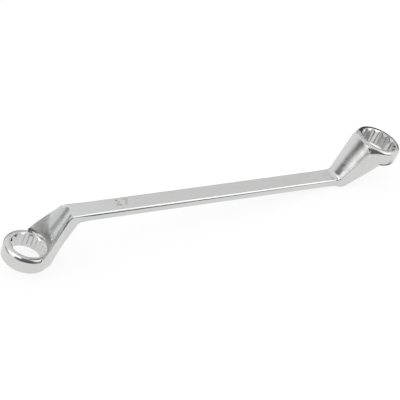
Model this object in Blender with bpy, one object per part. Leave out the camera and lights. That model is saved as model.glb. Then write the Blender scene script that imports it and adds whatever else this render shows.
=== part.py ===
"""A double-ended ring spanner with deep-offset ends: one drop forging with two 12-point bores.

Units are metres, +Z is up. The spanner is drawn in the frame of its small ring: the middle of that
ring's open face at the origin, the ring's axis along Z and the shank towards +X. It is then laid on the
bench as it rests, on the foot of the small ring and on the underside of the far bend.
"""

import math

import bmesh
import bpy
from mathutils import Matrix, Vector

MM = 0.001

# Bores, across the flats of the nut
SMALL_ACROSS_FLATS = 27.0 * MM
LARGE_ACROSS_FLATS = 30.0 * MM
LEAD_IN_WIDTH = 0.4 * MM
RECESS_RELIEF = 0.08 * MM
RECESS_ROUND = 0.18 * MM

# Ring ends: a forged crown that is faced flat near the bore, then a rounded shoulder.
# The walls are counted outwards from the corners of the nut.
RING_HEIGHT = 15.7 * MM
COLLAR_WALL = 1.45 * MM
RIM_WALL = 3.8 * MM
CROWN_DROP = 0.3 * MM
SMALL_SHOULDER_WIDTH = 2.0 * MM
LARGE_SHOULDER_WIDTH = 1.65 * MM
INNER_SHOULDER_DEPTH = 3.6 * MM
OUTER_SHOULDER_DEPTH = 2.4 * MM

# Shank, and where the large ring stands from the small one
SHANK_WIDTH = 17.8 * MM
SHANK_THICKNESS = 7.75 * MM
SHANK_EDGE_ROUND = 1.8 * MM
SHANK_LIFT = 34.3 * MM
RING_SPACING = 325.2 * MM
RING_STEP = 129.4 * MM

# Necks: how far from the ring's axis the edges and the middle of each face leave the ring,
# and how far out they meet the shank
SMALL_INNER_FOOT = 5.6 * MM
SMALL_INNER_REACH = 23.7 * MM
SMALL_SCOOP_REACH = 27.0 * MM
SMALL_OUTER_FOOT = 19.3 * MM
SMALL_OUTER_REACH = 34.9 * MM
SMALL_FOOT_RISE = 1.6 * MM
LARGE_INNER_FOOT = 6.4 * MM
LARGE_INNER_REACH = 25.3 * MM
LARGE_SCOOP_REACH = 28.6 * MM
LARGE_OUTER_FOOT = 17.2 * MM
LARGE_OUTER_REACH = 31.8 * MM
LARGE_FOOT_RISE = 6.4 * MM
LIP_WIDTH = 0.9 * MM
NECK_EDGE_ROUND = 0.9 * MM
NECK_CROWN = 1.2 * MM
CREASE_DEPTH = 1.2 * MM
INNER_BEND_RADIUS = 7.5 * MM
OUTER_BEND_RADIUS = 5.0 * MM
WAIST_RADIUS = 13.0 * MM
NECK_LENGTH = 46.0 * MM

# Angles
SHANK_TILT = math.radians(9.9)
SMALL_WAIST_ANGLE = math.radians(57.0)
LARGE_WAIST_ANGLE = math.radians(63.0)
TOOTH_HALF_ANGLE = math.radians(5.5)
RECESS_HALF_ANGLE = math.radians(5.8)
RECESS_FLAT_ANGLE = math.radians(3.0)
SHOULDER_START = math.radians(15.0)
LEAD_IN_ANGLE = math.radians(45.0)
STRAIGHT_ANGLE = math.radians(0.5)
CREASE_ANGLE = math.radians(28.0)

# Counts and shares
CROWN_LEAN_SHARE = 0.35
POINTS = 12
BORE_STEPS = 96
BACK_COLUMNS = 26
FOOT_COLUMNS = 5
NECK_COLUMNS = (11, 5, 3)
FACE_STEPS = 12
EDGE_STEPS = 4
CREASE_POWER = 2.4
SIDE_STEPS = 3

# Cutters run past a face by this much, and points closer than the weld are one point
OVERRUN = 2.0 * MM
WELD = 0.001 * MM

# Worked out from the sizes above
HALF_WIDTH = SHANK_WIDTH / 2
SLOPE = math.tan(SHANK_TILT)
SHANK_DROP = SHANK_THICKNESS / math.cos(SHANK_TILT)


def lerp(a, b, share):
    return a + (b - a) * share


def ring_sizes(across_flats, shoulder):
    """Radii of a ring end: corners of the nut, teeth of the bore, flat collar, crown's rim and outer wall."""
    flat = across_flats / 2
    corner = flat / math.cos(2 * math.pi / POINTS)
    tooth = flat / math.cos(math.pi / POINTS + TOOTH_HALF_ANGLE)
    rim = corner + RIM_WALL
    collar = corner + COLLAR_WALL
    return {"corner": corner, "tooth": tooth, "collar": collar, "rim": rim, "wall": rim + shoulder}


def small_head():
    """The lower end: the face with the scoop looks up, and heights are counted from the ring's foot."""
    head = ring_sizes(SMALL_ACROSS_FLATS, SMALL_SHOULDER_WIDTH)
    head.update(inner_foot=SMALL_INNER_FOOT, inner_reach=SMALL_INNER_REACH, scoop_reach=SMALL_SCOOP_REACH)
    head.update(outer_foot=SMALL_OUTER_FOOT, outer_reach=SMALL_OUTER_REACH, foot_rise=SMALL_FOOT_RISE)
    head["waist"] = SMALL_WAIST_ANGLE
    head["inner_lift"] = RING_HEIGHT + SHANK_LIFT
    head["outer_lift"] = head["inner_lift"] - SHANK_DROP
    head["place"] = lambda x, y, h: (x, y, h - RING_HEIGHT)
    return head


def large_head():
    """The upper end is the same neck turned over, so its heights are counted down from its top face."""
    head = ring_sizes(LARGE_ACROSS_FLATS, LARGE_SHOULDER_WIDTH)
    head.update(inner_foot=LARGE_INNER_FOOT, inner_reach=LARGE_INNER_REACH, scoop_reach=LARGE_SCOOP_REACH)
    head.update(outer_foot=LARGE_OUTER_FOOT, outer_reach=LARGE_OUTER_REACH, foot_rise=LARGE_FOOT_RISE)
    head["waist"] = LARGE_WAIST_ANGLE
    head["outer_lift"] = RING_STEP - SHANK_LIFT - SLOPE * RING_SPACING
    head["inner_lift"] = head["outer_lift"] + SHANK_DROP
    head["place"] = lambda x, y, h: (RING_SPACING - x, y, RING_STEP - h)
    return head


def half_width(head, x):
    """Half the width seen along the ring's axis: the ring, a straight flare, a fillet, then the shank."""
    wall, waist = head["wall"], head["waist"]
    if x <= wall * math.cos(waist):
        return math.sqrt(max(wall * wall - x * x, 0))
    meet = (wall - HALF_WIDTH * math.sin(waist)) / math.cos(waist)
    turn = math.pi / 2 - waist
    end = meet + WAIST_RADIUS * math.tan(turn / 2)
    if x < end - WAIST_RADIUS * math.sin(turn):
        return HALF_WIDTH + (meet - x) * math.tan(turn)
    if x < end:
        return HALF_WIDTH + WAIST_RADIUS - math.sqrt(WAIST_RADIUS**2 - (end - x) ** 2)
    return HALF_WIDTH


def edge_round(head, x):
    """The rounding of a neck's edge, which grows from the foot of the neck to the shank."""
    out = min(max((x - head["inner_foot"]) / (NECK_LENGTH - head["inner_foot"]), 0), 1)
    return lerp(NECK_EDGE_ROUND, SHANK_EDGE_ROUND, out**2)


def scoop_foot(head):
    """Centre (along X) and radius of the circle, seen from above, on which the scoop begins."""
    near = head["inner_foot"]
    across = half_width(head, near) - NECK_EDGE_ROUND
    reach = head["collar"] + LIP_WIDTH
    centre = (reach**2 - near**2 - across**2) / (2 * (reach - near))
    return centre, reach - centre


def bent_line(foot, corner, radius, counts, end):
    """Points (x, height): up from the foot, round the corner, then out along the shank to x = end."""
    rise = math.atan2(corner[1] - foot[1], corner[0] - foot[0])
    turn = rise - SHANK_TILT
    back = radius * math.tan(turn / 2)
    start = (corner[0] - back * math.cos(rise), corner[1] - back * math.sin(rise))
    centre = (start[0] + radius * math.sin(rise), start[1] - radius * math.cos(rise))
    climb, bend, run = counts
    points = [(lerp(foot[0], start[0], i / climb), lerp(foot[1], start[1], i / climb)) for i in range(climb)]
    for i in range(bend + 1):
        angle = rise - turn * i / bend
        points.append((centre[0] - radius * math.sin(angle), centre[1] + radius * math.cos(angle)))
    last = points[-1]
    for i in range(1, run + 1):
        points.append((lerp(last[0], end, i / run), last[1] + (end - last[0]) * SLOPE * i / run))
    return points


def ring_edge(head, angle, face, inward, depth):
    """One column of a ring end: where the crown stops, and the two legs of the shoulder beyond it."""
    across, along = math.cos(angle), math.sin(angle)
    reach = head["wall"]
    if angle < head["waist"]:
        reach /= math.cos(head["waist"] - angle)
    edge = Vector((head["rim"] * across, head["rim"] * along, face + inward * CROWN_DROP))
    return {
        "edge": edge,
        "out": Vector(((reach - head["rim"]) * across, (reach - head["rim"]) * along, 0)),
        "down": Vector((0, 0, inward * depth)),
        "middle": Vector((edge.x, 0, edge.z)),
        "crown": Vector((inward * CROWN_DROP, head["collar"], head["rim"])),
        "front": Vector((*scoop_foot(head), 0)),
    }


def neck_edge(head, point, other, middle):
    """One column of a neck face. The rounding of its edge runs towards the opposite edge of the neck."""
    radius = edge_round(head, point[0])
    towards = Vector((other[0] - point[0], 0, other[1] - point[1])).normalized() * radius
    inset = half_width(head, point[0]) - radius
    wall = half_width(head, point[0] + towards.x)
    return {
        "edge": Vector((point[0], inset, point[1])),
        "out": Vector((0, wall - inset, 0)),
        "down": towards,
        "middle": Vector((middle[0], 0, middle[1])),
        "crown": Vector((0, head["collar"], head["rim"])),
        "front": Vector((*scoop_foot(head), 0)),
    }


def mix(a, b, share):
    return {key: a[key].lerp(b[key], share) for key in a}


def shoulder_row(first, last, meeting, along):
    """A row of the shoulder between the ring's rim and the crease of the neck, rounded like the shoulder."""
    turn = along * math.pi / 2
    outwards, downwards = math.sin(turn), 1 - math.cos(turn)
    row = mix(first, last, downwards)
    for name in ("edge", "middle"):
        row[name].xy = first[name].xy.lerp(last[name].xy, outwards)
    row["down"] = Vector((0, 0, meeting.z - row["edge"].z)).lerp(last["down"], downwards)
    row["out"] = meeting - row["edge"] - row["down"]
    return row


def scoop_line(head, inner):
    """Points (x, height) of the middle of the scoop: from the lip of the ring to a crescent at the bend."""
    climb, bend, _ = NECK_COLUMNS
    foot = (head["collar"] + LIP_WIDTH, RING_HEIGHT - CROWN_DROP)
    top = (head["scoop_reach"], head["inner_lift"] + SLOPE * head["scoop_reach"])
    last = climb + bend // 2
    level = inner[climb + bend + 1]
    line = []
    for i, point in enumerate(inner):
        if i <= last:
            up = i / last
            line.append((lerp(foot[0], top[0], up), lerp(foot[1], top[1], up)))
        elif i <= climb + bend:
            up = (i - last) / (climb + bend + 1 - last)
            line.append((lerp(top[0], level[0], up), lerp(top[1], level[1], up)))
        else:
            line.append(point)
    return line


def outer_lines(head):
    """The foot of the outer face, the line of its edge, and the line of its crowned middle."""
    climb, bend, run = NECK_COLUMNS
    late = (climb - FOOT_COLUMNS, bend, run)
    corner = (head["outer_reach"], head["outer_lift"] + SLOPE * head["outer_reach"])
    foot = (lerp(head["outer_foot"], corner[0], head["foot_rise"] / corner[1]), head["foot_rise"])
    edge = bent_line(foot, corner, OUTER_BEND_RADIUS, late, NECK_LENGTH)
    reach = head["outer_reach"] + NECK_CROWN
    top = (reach, head["outer_lift"] + SLOPE * reach)
    crown = bent_line((head["wall"], CREASE_DEPTH), top, OUTER_BEND_RADIUS, late, NECK_LENGTH)
    return foot, edge, crown


def head_columns(head):
    """Pairs of edges (inner face, outer face) from the back of the ring to the start of the shank."""
    climb, bend, run = NECK_COLUMNS
    inner_foot = (head["inner_foot"], RING_HEIGHT - CROWN_DROP)
    inner_corner = (head["inner_reach"], head["inner_lift"] + SLOPE * head["inner_reach"])
    inner = bent_line(inner_foot, inner_corner, INNER_BEND_RADIUS, NECK_COLUMNS, NECK_LENGTH)
    scoop = scoop_line(head, inner)
    foot, outer, crown = outer_lines(head)
    inner_turn = math.acos(head["inner_foot"] / head["wall"])
    crease = neck_edge(head, outer[0], inner[FOOT_COLUMNS], crown[0])
    meeting = crease["edge"] + crease["out"] + crease["down"]
    outer_turn = math.atan2(meeting.y, meeting.x)

    columns = []
    for i in range(BACK_COLUMNS + 1):
        angle = lerp(math.pi, inner_turn, i / BACK_COLUMNS)
        above = ring_edge(head, angle, RING_HEIGHT, -1, INNER_SHOULDER_DEPTH)
        columns.append((above, ring_edge(head, angle, 0, 1, OUTER_SHOULDER_DEPTH)))
    ring_last = columns[-1][0]
    neck_first = neck_edge(head, inner[0], outer[0], scoop[0])
    neck_first["crown"] = ring_last["crown"]
    neck_first["front"] = Vector((*scoop_foot(head), 1))
    deep = meeting.z - CROWN_DROP
    for i in range(1, FOOT_COLUMNS + 1):
        along = i / FOOT_COLUMNS
        depth = lerp(OUTER_SHOULDER_DEPTH, deep, along**2)
        under = ring_edge(head, lerp(inner_turn, outer_turn, along), 0, 1, depth)
        columns.append((mix(ring_last, neck_first, 1 - (1 - along) ** 2), under))
    under_last = {**columns[-1][1], "middle": Vector((head["rim"], 0, CROWN_DROP))}
    for i in range(1, climb + bend + run + 1):
        opposite = outer[max(i - FOOT_COLUMNS, 0)]
        if i < FOOT_COLUMNS:
            under = shoulder_row(under_last, crease, meeting, (i - 1) / (FOOT_COLUMNS - 1))
        else:
            under = neck_edge(head, opposite, inner[i], crown[i - FOOT_COLUMNS])
        under["dip"] = CREASE_POWER if i <= FOOT_COLUMNS else 1 + (CREASE_POWER - 1) / (i - FOOT_COLUMNS)
        columns.append((neck_edge(head, inner[i], opposite, scoop[i]), under))
    return columns


def crown_lift(side, point):
    """How far the ring's crown stands above its rim at a point. Inside the collar it is faced off."""
    drop, collar, rim = side["crown"]
    centre, radius, ahead = side["front"]
    turn = math.atan2(point.y, point.x)
    foot = centre * math.cos(turn) + math.sqrt(max(radius**2 - (centre * math.sin(turn)) ** 2, 0))
    out = (math.hypot(point.x, point.y) - collar) / (lerp(rim, foot, ahead) - collar)
    out = min(out, 1)
    return drop * (out * lerp(max(out, 0), 1, CROWN_LEAN_SHARE) - 1)


def face_points(side):
    """Points across a face, closer together near its edges, on an arc through the middle."""
    edge, middle = side["edge"], side["middle"]
    sag = Vector((middle.x - edge.x, 0, middle.z - edge.z))
    half_turn = 2 * math.atan2(sag.length, edge.y) if edge.y > WELD else 0
    points = []
    for i in range(FACE_STEPS + 1):
        place = math.sin(lerp(-math.pi / 2, math.pi / 2, i / FACE_STEPS))
        across, depth = place, place * place
        if half_turn > STRAIGHT_ANGLE:
            across = math.sin(half_turn * place) / math.sin(half_turn)
            depth = (1 - math.cos(half_turn * place)) / (1 - math.cos(half_turn))
        dip = depth ** side.get("dip", 1)
        point = Vector((middle.x - sag.x * depth, edge.y * across, middle.z - sag.z * dip))
        point.z += crown_lift(side, point)
        points.append(point)
    return points


def rounding(side):
    """Points from the edge of a face out and down to the side wall, without the edge itself."""
    first = math.sin(SHOULDER_START)
    points = []
    for i in range(1, EDGE_STEPS + 1):
        angle = lerp(SHOULDER_START, math.pi / 2, i / EDGE_STEPS)
        out = (math.sin(angle) - first) / (1 - first)
        down = 1 - math.cos(angle) / math.cos(SHOULDER_START)
        points.append(side["edge"] + side["out"] * out + side["down"] * down)
    return points


def wall_points(head, top, bottom):
    """Points of the side wall between the two roundings, kept on the outline of the plan."""
    points = []
    for i in range(1, SIDE_STEPS):
        point = top.lerp(bottom, i / SIDE_STEPS)
        if point.x > 0:
            point.y = half_width(head, point.x)
        points.append(point)
    return points


def column_loop(head, inner, outer):
    """The closed section of one column: inner face, far side, outer face, near side."""
    down, up = rounding(inner), rounding(outer)
    side = [*down, *wall_points(head, down[-1], up[-1]), *reversed(up)]
    flip = Matrix.Diagonal((1, -1, 1))
    far = [*face_points(inner), *side, *reversed(face_points(outer)), *[flip @ p for p in reversed(side)]]
    return [Vector(head["place"](*point)) for point in far]


def forging_mesh():
    """One skin over every column, from the back of the small ring to the front of the large one."""
    small, large = small_head(), large_head()
    loops = [column_loop(small, inner, outer) for inner, outer in head_columns(small)]
    loops += [column_loop(large, outer, inner) for inner, outer in reversed(head_columns(large))]
    bm = bmesh.new()
    rows = [[bm.verts.new(point) for point in loop] for loop in loops]
    count = len(rows[0])
    for row, following in zip(rows, rows[1:]):
        for i in range(count):
            j = (i + 1) % count
            bm.faces.new((row[i], row[j], following[j], following[i]))
    bmesh.ops.remove_doubles(bm, verts=bm.verts, dist=WELD)
    bmesh.ops.recalc_face_normals(bm, faces=bm.faces)
    return mesh_of(bm, "spanner_forging")


def mesh_of(bm, name):
    mesh = bpy.data.meshes.new(name)
    bm.to_mesh(mesh)
    bm.free()
    return mesh


def bore_mesh(head, name):
    """The 12-point bore: blunt teeth that meet the nut beside its corners, and a rounded recess between."""
    pitch = 2 * math.pi / POINTS
    recess = head["corner"] + RECESS_RELIEF
    corners = []
    for i in range(POINTS):
        tooth, middle = pitch * i, pitch * (i + 0.5)
        corners += [(head["tooth"], tooth - TOOTH_HALF_ANGLE), (head["tooth"], tooth + TOOTH_HALF_ANGLE)]
        corners += [(recess - RECESS_ROUND, middle - RECESS_HALF_ANGLE), (recess, middle - RECESS_FLAT_ANGLE)]
        corners += [(recess, middle + RECESS_FLAT_ANGLE), (recess - RECESS_ROUND, middle + RECESS_HALF_ANGLE)]
    bm = bmesh.new()
    bmesh.ops.create_circle(bm, cap_ends=True, segments=len(corners), radius=recess)
    for vert, (radius, angle) in zip(bm.verts, corners):
        vert.co = (radius * math.cos(angle), radius * math.sin(angle), -RING_HEIGHT - OVERRUN)
    raised = bmesh.ops.extrude_face_region(bm, geom=list(bm.faces))
    tops = [item for item in raised["geom"] if isinstance(item, bmesh.types.BMVert)]
    bmesh.ops.translate(bm, verts=tops, vec=(0, 0, RING_HEIGHT + 2 * OVERRUN))
    bmesh.ops.recalc_face_normals(bm, faces=bm.faces)
    return mesh_of(bm, name)


def lead_in_mesh(head, name, low):
    """A cone that opens one end of the bore: wide beyond the face, narrow inside the hole."""
    wide = head["corner"] + LEAD_IN_WIDTH + OVERRUN * math.tan(LEAD_IN_ANGLE)
    narrow = head["tooth"] - LEAD_IN_WIDTH
    depth = (wide - narrow) / math.tan(LEAD_IN_ANGLE)
    bm = bmesh.new()
    bmesh.ops.create_cone(bm, cap_ends=True, segments=BORE_STEPS, radius1=narrow, radius2=wide, depth=depth)
    bmesh.ops.translate(bm, verts=bm.verts, vec=(0, 0, OVERRUN - depth / 2))
    if low:
        bmesh.ops.scale(bm, verts=bm.verts, vec=(1, 1, -1))
        bmesh.ops.translate(bm, verts=bm.verts, vec=(0, 0, -RING_HEIGHT))
    bmesh.ops.recalc_face_normals(bm, faces=bm.faces)
    return mesh_of(bm, name)


def facing_mesh(head, name, low):
    """A disc beyond one face of the ring, which faces the crown off flat as far out as the collar."""
    wide = head["collar"]
    bm = bmesh.new()
    bmesh.ops.create_cone(bm, cap_ends=True, segments=BORE_STEPS, radius1=wide, radius2=wide, depth=OVERRUN)
    lift = -RING_HEIGHT - OVERRUN / 2 if low else OVERRUN / 2
    bmesh.ops.translate(bm, verts=bm.verts, vec=(0, 0, lift))
    return mesh_of(bm, name)


def resting_turn(mesh):
    """The turn about Y that brings the two places that touch the bench to one level."""
    outline = sorted({(vert.co.x, vert.co.z) for vert in mesh.vertices})
    hull = []
    for point in outline:
        while len(hull) > 1:
            (ax, az), (bx, bz) = hull[-2], hull[-1]
            if (bx - ax) * (point[1] - az) - (bz - az) * (point[0] - ax) > 0:
                break
            hull.pop()
        hull.append(point)
    spans = [(b[0] - a[0], b[1] - a[1]) for a, b in zip(hull, hull[1:])]
    across, up = max(spans)
    return math.atan2(up, across)


def steel():
    """Satin chrome over forged steel."""
    material = bpy.data.materials.new("satin_chrome")
    material.use_nodes = True
    shader = material.node_tree.nodes["Principled BSDF"]
    shader.inputs["Base Color"].default_value = (0.66, 0.67, 0.67, 1)
    shader.inputs["Metallic"].default_value = 1
    shader.inputs["Roughness"].default_value = 0.28
    material.diffuse_color = (0.66, 0.67, 0.67, 1)
    return material


def main():
    for obj in list(bpy.data.objects):
        bpy.data.objects.remove(obj)
    parts = bpy.data.collections.new("ring_spanner")
    cutters = bpy.data.collections.new("cutters")
    bpy.context.scene.collection.children.link(parts)
    bpy.context.scene.collection.children.link(cutters)

    body = bpy.data.objects.new("spanner_forging", forging_mesh())
    parts.objects.link(body)
    tools = []
    raised = Matrix.Translation((RING_SPACING, 0, RING_STEP))
    for name, head, place in (("small", small_head(), Matrix()), ("large", large_head(), raised)):
        meshes = [
            bore_mesh(head, f"{name}_bore"),
            lead_in_mesh(head, f"{name}_upper_lead_in", False),
            lead_in_mesh(head, f"{name}_lower_lead_in", True),
            facing_mesh(head, f"{name}_upper_facing", False),
            facing_mesh(head, f"{name}_lower_facing", True),
        ]
        for mesh in meshes:
            mesh.transform(place)
            tools.append(bpy.data.objects.new(mesh.name, mesh))

    for tool in tools:
        cutters.objects.link(tool)
        tool.hide_render = True
        tool.display_type = "WIRE"
        cut = body.modifiers.new(tool.name, "BOOLEAN")
        cut.operation = "DIFFERENCE"
        cut.solver = "EXACT"
        cut.object = tool
    body.data.materials.append(steel())
    body.data.shade_smooth()
    body.data.set_sharp_from_angle(angle=CREASE_ANGLE)

    shape = body.evaluated_get(bpy.context.evaluated_depsgraph_get()).data
    turn = Matrix.Rotation(resting_turn(shape), 4, "Y")
    turned = [turn @ vert.co for vert in shape.vertices]
    middle = (min(p.x for p in turned) + max(p.x for p in turned)) / 2
    laid = Matrix.Translation((-middle, 0, -min(p.z for p in turned))) @ turn
    for obj in (body, *tools):
        obj.data.transform(laid)


main()
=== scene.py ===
# %% [markdown]
# # A ring spanner in satin chrome
# The real tool is one drop forging: a flat shank, two cranked necks and two rings with 12-point
# bores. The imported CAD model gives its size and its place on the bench. This lesson builds a finer
# skin of the same shape, stamps it, finishes it, and sets it in a small photographer's studio.

# %% Load the fixed frame
import math

import bmesh
import bpy
from mathutils import Matrix, Vector


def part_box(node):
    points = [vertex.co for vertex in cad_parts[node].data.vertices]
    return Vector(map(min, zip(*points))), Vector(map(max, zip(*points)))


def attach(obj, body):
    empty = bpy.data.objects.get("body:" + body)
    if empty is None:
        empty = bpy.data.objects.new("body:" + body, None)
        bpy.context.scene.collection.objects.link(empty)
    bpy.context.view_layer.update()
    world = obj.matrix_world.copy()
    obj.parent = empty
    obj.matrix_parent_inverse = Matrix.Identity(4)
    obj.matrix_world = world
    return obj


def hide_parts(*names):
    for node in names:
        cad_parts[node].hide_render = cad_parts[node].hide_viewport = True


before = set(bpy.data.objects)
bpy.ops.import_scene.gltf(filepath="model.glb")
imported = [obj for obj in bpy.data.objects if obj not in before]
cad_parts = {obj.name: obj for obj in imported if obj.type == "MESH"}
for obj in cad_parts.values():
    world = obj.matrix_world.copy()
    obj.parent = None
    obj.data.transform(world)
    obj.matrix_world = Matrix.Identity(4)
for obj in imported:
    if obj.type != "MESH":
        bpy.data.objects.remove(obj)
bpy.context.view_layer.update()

# %% [markdown]
# ## The sizes
# A forging is drawn from a few sizes: the nuts that it fits, the ring's height, the bar it is made
# from, and where each neck leaves its ring and meets the shank. Each is named once here, in metres,
# as in the CAD part.

# %% Sizes of the bores and rings
MM = 0.001
SMALL_NUT = 27.0 * MM
LARGE_NUT = 30.0 * MM
LEAD_IN_WIDTH = 0.4 * MM
EDGE_BREAK = 0.12 * MM
RECESS_RELIEF = 0.08 * MM
RECESS_ROUND = 0.18 * MM
RING_HEIGHT = 15.7 * MM
FLAT_WALL = 1.45 * MM
RIM_WALL = 3.8 * MM
LIP_DROP = 0.3 * MM
LIP_WIDTH = 0.9 * MM
SCOOP_DROP = 0.08 * MM
STEP_WIDTH = 0.14 * MM
STEP_DEPTH = 0.24 * MM
CROWN_LEAN = 0.35
INNER_SHOULDER_DEPTH = 3.6 * MM
OUTER_SHOULDER_DEPTH = 2.4 * MM
RING_SPACING = 325.2 * MM
RING_STEP = 129.4 * MM
print("between the ring axes in mm:", round(math.hypot(RING_SPACING, RING_STEP) / MM, 1))

# %% Sizes of the shank and necks
SHANK_WIDTH = 17.8 * MM
SHANK_THICKNESS = 7.75 * MM
SHANK_LIFT = 34.3 * MM
SHANK_TILT = math.radians(9.9)
NECK_ROUND = 0.9 * MM
SHANK_ROUND = 1.8 * MM
NECK_CROWN = 1.2 * MM
CREASE_DEPTH = 1.2 * MM
INNER_BEND_RADIUS = 7.5 * MM
OUTER_BEND_RADIUS = 5.0 * MM
WAIST_RADIUS = 13.0 * MM
NECK_LENGTH = 46.0 * MM
CREASE_POWER = 2.4

SMALL_END = {
    "nut": SMALL_NUT,
    "shoulder": 2.0 * MM,
    "inner_foot": 5.6 * MM,
    "inner_reach": 23.7 * MM,
    "scoop_reach": 27.0 * MM,
    "outer_foot": 19.3 * MM,
    "outer_reach": 34.9 * MM,
    "foot_rise": 1.6 * MM,
    "waist": math.radians(57.0),
}
LARGE_END = {
    "nut": LARGE_NUT,
    "shoulder": 1.65 * MM,
    "inner_foot": 6.4 * MM,
    "inner_reach": 25.3 * MM,
    "scoop_reach": 28.6 * MM,
    "outer_foot": 17.2 * MM,
    "outer_reach": 31.8 * MM,
    "foot_rise": 6.4 * MM,
    "waist": math.radians(63.0),
}
print("shank in mm:", round(SHANK_WIDTH / MM, 2), "by", round(SHANK_THICKNESS / MM, 2))

# %% [markdown]
# The twelve points of the bore are blunt teeth with rounded recesses between them. The flats of a
# nut touch the teeth a little beside its corners, so the tooth radius follows from the nut and the
# half angle of a tooth.

# %% Radii and lifts of both ends
POINTS = 12
TOOTH_HALF_ANGLE = math.radians(5.5)
TOOTH_BREAK_ANGLE = math.radians(0.5)
RECESS_HALF_ANGLE = math.radians(5.8)
RECESS_FLAT_ANGLE = math.radians(3.0)
RIM_START = math.radians(40.0)
SHANK_START = math.radians(15.0)
HALF_WIDTH = SHANK_WIDTH / 2
SLOPE = math.tan(SHANK_TILT)
SHANK_DROP = SHANK_THICKNESS / math.cos(SHANK_TILT)
WELD = 0.001 * MM


def finish_end(end):
    """Adds the radii of a ring end to its sizes."""
    flat = end["nut"] / 2
    end["corner"] = flat / math.cos(2 * math.pi / POINTS)
    end["tooth"] = flat / math.cos(math.pi / POINTS + TOOTH_HALF_ANGLE)
    end["flat"] = end["corner"] + FLAT_WALL
    end["rim"] = end["corner"] + RIM_WALL
    end["wall"] = end["rim"] + end["shoulder"]


for one_end in (SMALL_END, LARGE_END):
    finish_end(one_end)
SMALL_END["inner_lift"] = RING_HEIGHT + SHANK_LIFT
SMALL_END["outer_lift"] = SMALL_END["inner_lift"] - SHANK_DROP
SMALL_END["place"] = lambda x, y, h: (x, y, h - RING_HEIGHT)
LARGE_END["outer_lift"] = RING_STEP - SHANK_LIFT - SLOPE * RING_SPACING
LARGE_END["inner_lift"] = LARGE_END["outer_lift"] + SHANK_DROP
LARGE_END["place"] = lambda x, y, h: (RING_SPACING - x, y, RING_STEP - h)
print("rim radii in mm:", [round(e["rim"] / MM, 2) for e in (SMALL_END, LARGE_END)])

# %% [markdown]
# ## The outline from above
# Seen along the ring's axis the tool is a circle that runs into the shank: a straight flare leaves
# the ring on its tangent, and a large fillet turns it along the shank. One function gives half the
# width at any distance.

# %% Half the width at a distance from the ring's axis


def lerp(a, b, share):
    return a + (b - a) * share


def half_width(end, x):
    wall, waist = end["wall"], end["waist"]
    if x <= wall * math.cos(waist):
        return math.sqrt(max(wall * wall - x * x, 0))
    meet = (wall - HALF_WIDTH * math.sin(waist)) / math.cos(waist)
    turn = math.pi / 2 - waist
    stop = meet + WAIST_RADIUS * math.tan(turn / 2)
    if x < stop - WAIST_RADIUS * math.sin(turn):
        return HALF_WIDTH + (meet - x) * math.tan(turn)
    if x < stop:
        return HALF_WIDTH + WAIST_RADIUS - math.sqrt(WAIST_RADIUS**2 - (stop - x) ** 2)
    return HALF_WIDTH


print("half width 20 mm out, in mm:", round(half_width(SMALL_END, 20 * MM) / MM, 2))

# %% [markdown]
# ## The bend seen from the side
# Each edge of a neck climbs from the ring, turns on an arc and runs out along the shank. The points
# along it are counted, not spaced by length, so that the edges of one neck can be paired point by
# point.

# %% A line that climbs, bends and runs


def bent_line(foot, corner, radius, counts, stop):
    rise = math.atan2(corner[1] - foot[1], corner[0] - foot[0])
    turn = rise - SHANK_TILT
    back = radius * math.tan(turn / 2)
    start = (corner[0] - back * math.cos(rise), corner[1] - back * math.sin(rise))
    centre = (start[0] + radius * math.sin(rise), start[1] - radius * math.cos(rise))
    climb, bend, run = counts
    points = []
    for i in range(climb):
        share = i / climb
        points.append((lerp(foot[0], start[0], share), lerp(foot[1], start[1], share)))
    for i in range(bend + 1):
        angle = rise - turn * i / bend
        points.append((centre[0] - radius * math.sin(angle), centre[1] + radius * math.cos(angle)))
    last = points[-1]
    for i in range(1, run + 1):
        share = i / run
        points.append((lerp(last[0], stop, share), last[1] + (stop - last[0]) * SLOPE * share))
    return points


# %% [markdown]
# ## The columns of one end
# A forging has no seams, so its skin is one loft. It is cut into columns, each a closed section
# through both faces. A column is written as two edges, one on the inner face and one on the outer:
# where the face stops, how far the rounding goes out and down from there, where the middle of the
# face lies, and how crisp the rounding starts. The last two entries, lip and front, say how the
# ring's crowned face drops to its rim. Behind the ring the columns stand on the rim. Then they fan
# out from the rim to the foot of the neck.

# %% Edges of the ring and of the neck


def edge_round(end, x):
    """The rounding of an edge grows from the foot of the neck to the shank."""
    share = min(max((x - end["inner_foot"]) / (NECK_LENGTH - end["inner_foot"]), 0), 1)
    return lerp(NECK_ROUND, SHANK_ROUND, share * share)


def ring_edge(end, angle, face, inward, depth):
    across, along = math.cos(angle), math.sin(angle)
    reach = end["wall"]
    if angle < end["waist"]:
        reach /= math.cos(end["waist"] - angle)
    gap = reach - end["rim"]
    edge = Vector((end["rim"] * across, end["rim"] * along, face + inward * LIP_DROP))
    return {
        "edge": edge,
        "out": Vector((gap * across, gap * along, 0)),
        "down": Vector((0, 0, inward * depth)),
        "middle": Vector((edge.x, 0, edge.z)),
        "start": Vector((RIM_START, 0)),
        "lip": Vector((inward * LIP_DROP, end["flat"], end["rim"])),
        "front": end["front"],
    }


def neck_edge(end, point, other, middle):
    radius = edge_round(end, point[0])
    towards = Vector((other[0] - point[0], 0, other[1] - point[1])).normalized() * radius
    inset = half_width(end, point[0]) - radius
    wall = half_width(end, point[0] + towards.x)
    return {
        "edge": Vector((point[0], inset, point[1])),
        "out": Vector((0, wall - inset, 0)),
        "down": towards,
        "middle": Vector((middle[0], 0, middle[1])),
        "start": Vector((SHANK_START, 0)),
        "lip": Vector((0, end["flat"], end["rim"])),
        "front": end["front"],
    }


def mix(a, b, share):
    """Mixes two edges. Each entry is a vector, even a lone angle, so one line does them all."""
    return {key: a[key].lerp(b[key], share) for key in a}


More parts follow.
